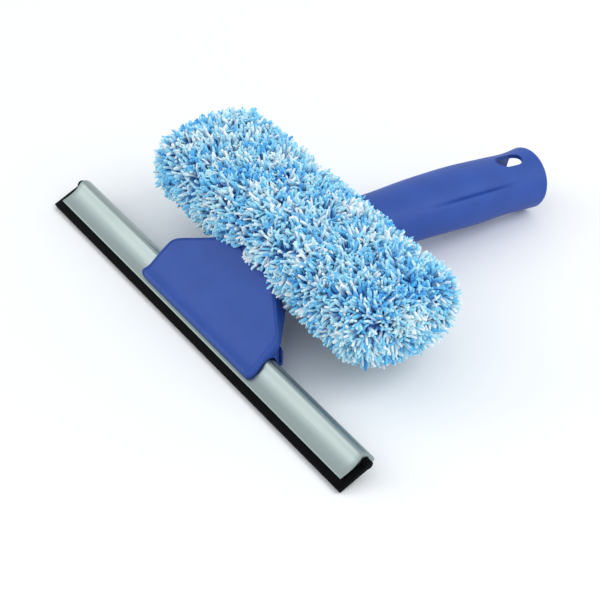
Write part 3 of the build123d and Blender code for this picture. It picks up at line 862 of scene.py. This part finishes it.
def yarn_lines(roots, outs, sizes, rng):
    """Middle lines of the yarns, curled, combed and clumped, and each yarn's clump."""
    count = len(roots)
    length = sizes.pile_length * (1 - LENGTH_SPREAD / 2 + LENGTH_SPREAD * rng.random(count))
    length *= 1 + LENGTH_WAVE * slow_waves(roots, LENGTH_PATCH, rng)
    lean = rng.normal(size=(count, 3)) * YARN_LEAN
    comb = np.stack([slow_waves(roots, COMB_PATCH, rng) for _ in range(3)], 1) * COMB_WAVE
    start = outs + lean * 0.5 + comb * 0.5
    start /= np.linalg.norm(start, axis=1)[:, None]
    curl = lean + comb + rng.normal(size=(count, 3)) * YARN_CURL + DROOP
    centres = roots[rng.random(count) < CLUMP_SHARE]
    tree = KDTree(len(centres))
    for i, centre in enumerate(centres):
        tree.insert(centre, i)
    tree.balance()
    clump = np.array([tree.find(root)[1] for root in roots])
    steps = np.linspace(0, 1, YARN_RINGS)
    line = np.zeros((count, YARN_RINGS, 3))
    line[:, 0] = roots
    for k in range(1, YARN_RINGS):
        direction = start + curl * steps[k]
        direction /= np.linalg.norm(direction, axis=1)[:, None]
        line[:, k] = line[:, k - 1] + direction * (length / (YARN_RINGS - 1))[:, None]
    toward = centres[clump] - roots
    line += toward[:, None, :] * (CLUMP_PULL * steps**1.5)[None, :, None]
    line = clear_of_plastic(line.reshape(-1, 3)).reshape(count, YARN_RINGS, 3)
    return line, clump, len(centres)


def yarn_skins(line, yarn_width, rng):
    """Points of every yarn's skin and tip."""
    count = len(line)
    steps = np.linspace(0, 1, YARN_RINGS)
    tangent = unit(np.gradient(line, axis=1))
    side = unit(np.cross(tangent, rng.normal(size=(count, 1, 3))))
    other = np.cross(tangent, side)
    radius = yarn_width / 2 * (0.75 + 0.5 * rng.random(count))
    twist = rng.random(count)[:, None] * 2 * pi + YARN_TWIST * steps[None, :]
    around = np.linspace(0, 2 * pi, YARN_SIDES, endpoint=False)
    angle = twist[:, :, None] + around[None, None, :]
    spread = (np.cos(angle)[..., None] * side[:, :, None, :]
              + YARN_FLATNESS * np.sin(angle)[..., None] * other[:, :, None, :])
    swell = (radius[:, None] * YARN_SWELL[None, :])[:, :, None, None]
    skin = line[:, :, None, :] + spread * swell
    tip = line[:, -1] + tangent[:, -1] * (radius * 0.5)[:, None]
    return np.concatenate([skin.reshape(count, -1, 3), tip[:, None, :]], 1)


def build_tufts(material, sizes):
    """The cut pile: short curled yarns in clumps, blended blue and white, in a few strips."""
    rng = np.random.default_rng(sizes.seed)
    roots, outs = tuft_roots(sizes.bed_inset, sizes.yarn_spacing, rng)
    count = len(roots)
    line, clump, clumps = yarn_lines(roots, outs, sizes, rng)
    points = yarn_skins(line, sizes.yarn_width, rng)
    patch = slow_waves(roots, TONE_PATCH, rng)
    clump_tone = rng.random(clumps)[clump] - 0.5
    own_tone = rng.random(count) - 0.5
    tone = TONE_MIDDLE + TONE_OF_PATCH * patch + TONE_OF_CLUMP * clump_tone + TONE_OF_YARN * own_tone
    tone = np.clip(tone, 0, 1)
    # painted shade, deep blue, at the root, its own tone from the middle up
    steps = np.linspace(0, 1, YARN_RINGS)
    reach = np.concatenate([np.repeat(np.clip(steps * 1.7 - 0.25, 0, 1), YARN_SIDES), [1.0]])
    x = roots[:, 0]
    limits = np.linspace(x.min() - 1e-6, x.max() + 1e-6, sizes.strips + 1)
    for strip in range(sizes.strips):
        mine = np.flatnonzero((x > limits[strip]) & (x <= limits[strip + 1]))
        name = f"sleeve_pile_strip_{strip + 1}"
        yarn_strip(name, points[mine], tone[mine], reach, material)
    return count


def build_strap(material):
    """The closing strap: a flat woven band with rolled edges, sagging a little between its snaps."""
    low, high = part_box("sleeve_strap")
    centre, half = (low + high) / 2, (high - low) / 2
    along, across = 60, 16
    points, faces = [], []
    for side in (1, -1):
        for i in range(along + 1):
            for j in range(across + 1):
                u, v = -1 + 2 * i / along, -1 + 2 * j / across
                corner = 1 - 0.10 * max(0.0, abs(u) - 0.9) / 0.1 * abs(v) ** 3
                edge = sqrt(max(0.0, 1 - max(abs(u), abs(v)) ** 14))
                sag = 0.25 * MM * (1 - u**2)
                thick = half[2] * (0.25 + 0.75 * edge) * 0.85
                x, y = centre[0] + u * half[0] * corner, centre[1] + v * half[1]
                points.append((x, y, centre[2] + side * thick - sag))
    row, layer = across + 1, (along + 1) * (across + 1)
    for i in range(along):
        for j in range(across):
            a = i * row + j
            faces.append((a, a + row, a + row + 1, a + 1))
            faces.append((layer + a, layer + a + 1, layer + a + row + 1, layer + a + row))
    rim = [i * row for i in range(along + 1)] + [along * row + j for j in range(1, row)]
    rim += [i * row + across for i in range(along - 1, -1, -1)] + list(range(across - 1, 0, -1))
    for a, b in zip(rim, rim[1:] + rim[:1]):
        faces.append((a, b, layer + b, layer + a))
    return new_piece("closing_strap", points, faces, material)


# ---- add-on ----

def length_setting(name, description, millimetres):
    """A length that a user may change."""
    return FloatProperty(name=name, description=description, default=millimetres * MM,
                         unit="LENGTH", subtype="DISTANCE")


class SqueegeeSizes(bpy.types.PropertyGroup):
    """Sizes that a user would change."""
    pile_length: length_setting("Pile length", "Mean length of the yarns above the bed", 9.0)
    yarn_width: length_setting("Yarn width", "Mean width of one yarn", 1.6)
    yarn_spacing: length_setting("Yarn spacing", "Distance between yarn roots", 1.5)
    bed_inset: length_setting("Bed inset", "Depth of the pile's base under its outer surface", 8.0)
    rim: length_setting("Rim", "Depth of the valley inside the holder's side rims", 0.45)
    edge: length_setting("Edge", "Radius of the holder's side edges", 1.5)
    groove: length_setting("Groove", "Depth of the grip's flank grooves", 1.0)
    seed: IntProperty(name="Seed", description="Chooses one arrangement of the pile", default=7)
    strips: IntProperty(name="Strips", description="Pieces that the pile is made in", default=8, min=1)


def colour_setting(name, description, hex_colour):
    """A colour that a user may change."""
    return FloatVectorProperty(name=name, description=description, size=4, subtype="COLOR",
                               min=0.0, max=1.0, default=linear(hex_colour))


class SqueegeeColours(bpy.types.PropertyGroup):
    """Colours that a user would change, linear."""
    plastic: colour_setting("Plastic", "Colour of the moulded holder, grip and bar", "294C9C")
    metal: colour_setting("Metal", "Colour of the anodised channel", "9FACAB")
    rubber: colour_setting("Rubber", "Colour of the blade", "020203")
    yarn_blue: colour_setting("Blue yarn", "Deepest of the pile's yarns", "3FA6EA")
    yarn_sky: colour_setting("Sky yarn", "Second of the pile's yarns", "66C6F4")
    yarn_pale: colour_setting("Pale yarn", "Third of the pile's yarns", "98DFF8")
    yarn_ice: colour_setting("Ice yarn", "Fourth of the pile's yarns", "C6EEF8")
    yarn_white: colour_setting("White yarn", "Lightest of the pile's yarns", "F2F8FA")
    # painted shade down between the tufts, mixed in at the yarns' roots
    pile_painted_shade: colour_setting("Pile depth", "Colour down between the tufts", "3A92E0")
    webbing: colour_setting("Webbing", "Colour of the closing strap", "2C4E96")
    backing: colour_setting("Backing", "Colour of the sleeve's woven backing", "8FC4E4")
    screws: colour_setting("Screws", "Colour of the plated screws", "C9CACC")
    snaps: colour_setting("Snaps", "Colour of the strap's snaps", "24418A")
    floor: colour_setting("Floor", "Colour of the studio floor", "F1F2F3")


def shared_material(name, make, *details):
    """The named material, made once."""
    return bpy.data.materials.get(name) or make(name, *details)


def blue_plastic(colours):
    """The tool's own blue."""
    return shared_material("moulded_polypropylene", moulded_polypropylene, colours.plastic)


def pile_material(colours):
    """The sleeve's yarns, from the deepest blue to off-white."""
    yarns = ((0.05, colours.yarn_blue), (0.24, colours.yarn_sky), (0.44, colours.yarn_pale),
             (0.64, colours.yarn_ice), (0.86, colours.yarn_white))
    return shared_material("polyester_microfibre", polyester_microfibre, yarns, colours.pile_painted_shade)


def dress(node, material):
    """Gives a CAD node its material."""
    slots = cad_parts[node].data.materials
    slots.clear()
    slots.append(material)


class SQUEEGEE_OT_blade(bpy.types.Operator):
    """Builds the rubber blade and its aluminium channel"""
    bl_idname = "squeegee.blade"
    bl_label = "Blade"

    def execute(self, context):
        colours = context.scene.squeegee_colours
        metal = shared_material("satin_anodised_aluminium", anodised_aluminium, colours.metal)
        rubber = shared_material("epdm_rubber", epdm_rubber, colours.rubber)
        low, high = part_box("aluminium_channel")
        channel = blade_prism("channel_extrusion", channel_outline(), (high[0] - low[0]) / 2, 0.12 * MM,
                              metal, "channel")
        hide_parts("aluminium_channel")
        low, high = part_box("rubber_blade")
        blade = blade_prism("blade_rubber", rubber_outline(), (high[0] - low[0]) / 2, 0.15 * MM,
                            rubber, "rubber")
        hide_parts("rubber_blade")
        return {"FINISHED"}


class SQUEEGEE_OT_holder(bpy.types.Operator):
    """Builds the holder's shell and dresses the pieces that clamp it"""
    bl_idname = "squeegee.holder"
    bl_label = "Holder"

    def execute(self, context):
        sizes = context.scene.squeegee_sizes
        plastic = blue_plastic(context.scene.squeegee_colours)
        shell = build_holder(plastic, sizes.rim, sizes.edge)
        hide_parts("holder_upper_shell")
        dress("holder_lower_jaw", plastic)
        dress("neck_hub", plastic)
        return {"FINISHED"}


class SQUEEGEE_OT_grip(bpy.types.Operator):
    """Builds the hollow grip with its hanging hole and dresses what is inside it"""
    bl_idname = "squeegee.grip"
    bl_label = "Grip"

    def execute(self, context):
        plastic = blue_plastic(context.scene.squeegee_colours)
        grip = build_grip(plastic, context.scene.squeegee_sizes.groove)
        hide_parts("handle_grip")
        for node in ("pole_socket_sleeve", "socket_webs"):
            dress(node, plastic)
        return {"FINISHED"}


WEBBING_THREAD, BACKING_THREAD = 0.9 * MM, 0.6 * MM
FEWEST_YARNS = 1000


class SQUEEGEE_OT_sleeve(bpy.types.Operator):
    """Builds the washer sleeve: bed, yarns and closing strap"""
    bl_idname = "squeegee.sleeve"
    bl_label = "Washer sleeve"

    def execute(self, context):
        sizes = context.scene.squeegee_sizes
        colours = context.scene.squeegee_colours
        pile = pile_material(colours)
        bed = build_sleeve_bed(pile, sizes.bed_inset)
        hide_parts("sleeve_pile")
        if build_tufts(pile, sizes) < FEWEST_YARNS:
            raise RuntimeError("the pile has too few yarns")
        webbing = shared_material("woven_webbing", woven_polyester, colours.webbing, WEBBING_THREAD)
        strap = build_strap(webbing)
        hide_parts("sleeve_strap")
        backing = shared_material("woven_backing", woven_polyester, colours.backing, BACKING_THREAD)
        for node in ("sleeve_backing", "sleeve_end_panel_left", "sleeve_end_panel_right"):
            dress(node, backing)
        return {"FINISHED"}


class SQUEEGEE_OT_bar(bpy.types.Operator):
    """Dresses the T-bar, screws and snaps"""
    bl_idname = "squeegee.bar"
    bl_label = "T-bar and fastenings"

    def execute(self, context):
        colours = context.scene.squeegee_colours
        for node in ("tbar_upper_half", "tbar_lower_half", "tbar_end_cap_left", "tbar_end_cap_right"):
            dress(node, blue_plastic(colours))
        zinc = shared_material("zinc_plated_steel", zinc_plated_steel, colours.screws)
        for node in ("jaw_screws", "tbar_screws", "grip_screw"):
            dress(node, zinc)
        acetal = shared_material("moulded_acetal", moulded_polypropylene, colours.snaps)
        for node in ("snap_caps", "snap_sockets"):
            dress(node, acetal)
        return {"FINISHED"}


# name, place, width, power in watts, colour
LIGHTS = (
    ("key", (-1.66, -1.69, 1.09), 2.0, 13, (1.0, 0.99, 0.97)),
    ("fill", (0.9, 0.6, 1.2), 1.2, 9, (0.97, 0.98, 1.0)),
)
ROOM_LIGHT = 0.97
ROOM_COLOUR = "F4F7FA"
FLOOR_HALF = 6.0
FLOOR_GAP = 0.2 * MM             # the floor lies just under the object, so the two don't share a plane
AIM = Vector((0.0215, -0.0548, 0.0153))  # what the camera and the lights point at
DISTANCE = 0.98
AZIMUTH, ELEVATION, ROLL = radians(54.85), radians(38.35), radians(1.34)
LENS, SENSOR = 120.5, 36         # millimetres
NEAREST = 0.05                   # the camera sees nothing closer than this


def soft_light(name, place_at, size, power, colour):
    """A large area light aimed at the object."""
    light = bpy.data.lights.new(name, "AREA")
    light.shape = "DISK"
    light.size = size
    light.energy = power
    light.color = colour
    lamp = set_out(name, light)
    lamp.location = place_at
    lamp.rotation_euler = (AIM - Vector(place_at)).to_track_quat("-Z", "Y").to_euler()


class SQUEEGEE_OT_stage(bpy.types.Operator):
    """Sets a pale floor, soft studio light and the camera"""
    bl_idname = "squeegee.stage"
    bl_label = "Stage"

    def execute(self, context):
        scene = context.scene
        material, tree = blank_material("painted_floor")
        floor_colour = context.scene.squeegee_colours.floor
        close_material(material, tree, {"Base Color": floor_colour, "Roughness": 0.9})
        mesh = bpy.data.meshes.new("studio_floor")
        work = bmesh.new()
        bmesh.ops.create_grid(work, x_segments=4, y_segments=4, size=FLOOR_HALF)
        work.to_mesh(mesh)
        work.free()
        mesh.materials.append(material)
        floor = set_out("studio_floor", mesh)
        floor.location = (0, 0, -FLOOR_GAP)
        world = bpy.data.worlds.new("studio")
        world.use_nodes = True
        back = world.node_tree.nodes["Background"]
        back.inputs["Color"].default_value = linear(ROOM_COLOUR)
        back.inputs["Strength"].default_value = ROOM_LIGHT
        scene.world = world
        scene.view_settings.view_transform = "Standard"
        for light in LIGHTS:
            soft_light(*light)
        camera = bpy.data.cameras.new("camera")
        camera.lens = LENS
        camera.sensor_width = SENSOR
        camera.clip_start = NEAREST
        eye = set_out("camera", camera)
        away = Vector((sin(AZIMUTH) * cos(ELEVATION), -cos(AZIMUTH) * cos(ELEVATION), sin(ELEVATION)))
        turn = Matrix.Rotation(AZIMUTH, 4, "Z") @ Matrix.Rotation(pi / 2 - ELEVATION, 4, "X")
        eye.matrix_world = Matrix.Translation(AIM + away * DISTANCE) @ turn @ Matrix.Rotation(ROLL, 4, "Z")
        scene.camera = eye
        return {"FINISHED"}


class SQUEEGEE_PT_panel(bpy.types.Panel):
    """Lists the operators"""
    bl_label = "Window squeegee"
    bl_idname = "SQUEEGEE_PT_panel"
    bl_space_type = "VIEW_3D"
    bl_region_type = "UI"
    bl_category = "Squeegee"

    def draw(self, context):
        for operator in OPERATORS:
            self.layout.operator(operator.bl_idname)


OPERATORS = (
    SQUEEGEE_OT_blade,
    SQUEEGEE_OT_holder,
    SQUEEGEE_OT_grip,
    SQUEEGEE_OT_sleeve,
    SQUEEGEE_OT_bar,
    SQUEEGEE_OT_stage,
)
CLASSES = (SqueegeeSizes, SqueegeeColours, *OPERATORS, SQUEEGEE_PT_panel)


def register():
    for made in CLASSES:
        bpy.utils.register_class(made)
    bpy.types.Scene.squeegee_sizes = PointerProperty(type=SqueegeeSizes)
    bpy.types.Scene.squeegee_colours = PointerProperty(type=SqueegeeColours)


def unregister():
    del bpy.types.Scene.squeegee_colours
    del bpy.types.Scene.squeegee_sizes
    for made in reversed(CLASSES):
        bpy.utils.unregister_class(made)


def main():
    register()
    bpy.ops.squeegee.blade()
    bpy.ops.squeegee.holder()
    bpy.ops.squeegee.grip()
    bpy.ops.squeegee.sleeve()
    bpy.ops.squeegee.bar()
    bpy.ops.squeegee.stage()


if __name__ == "__main__":
    main()
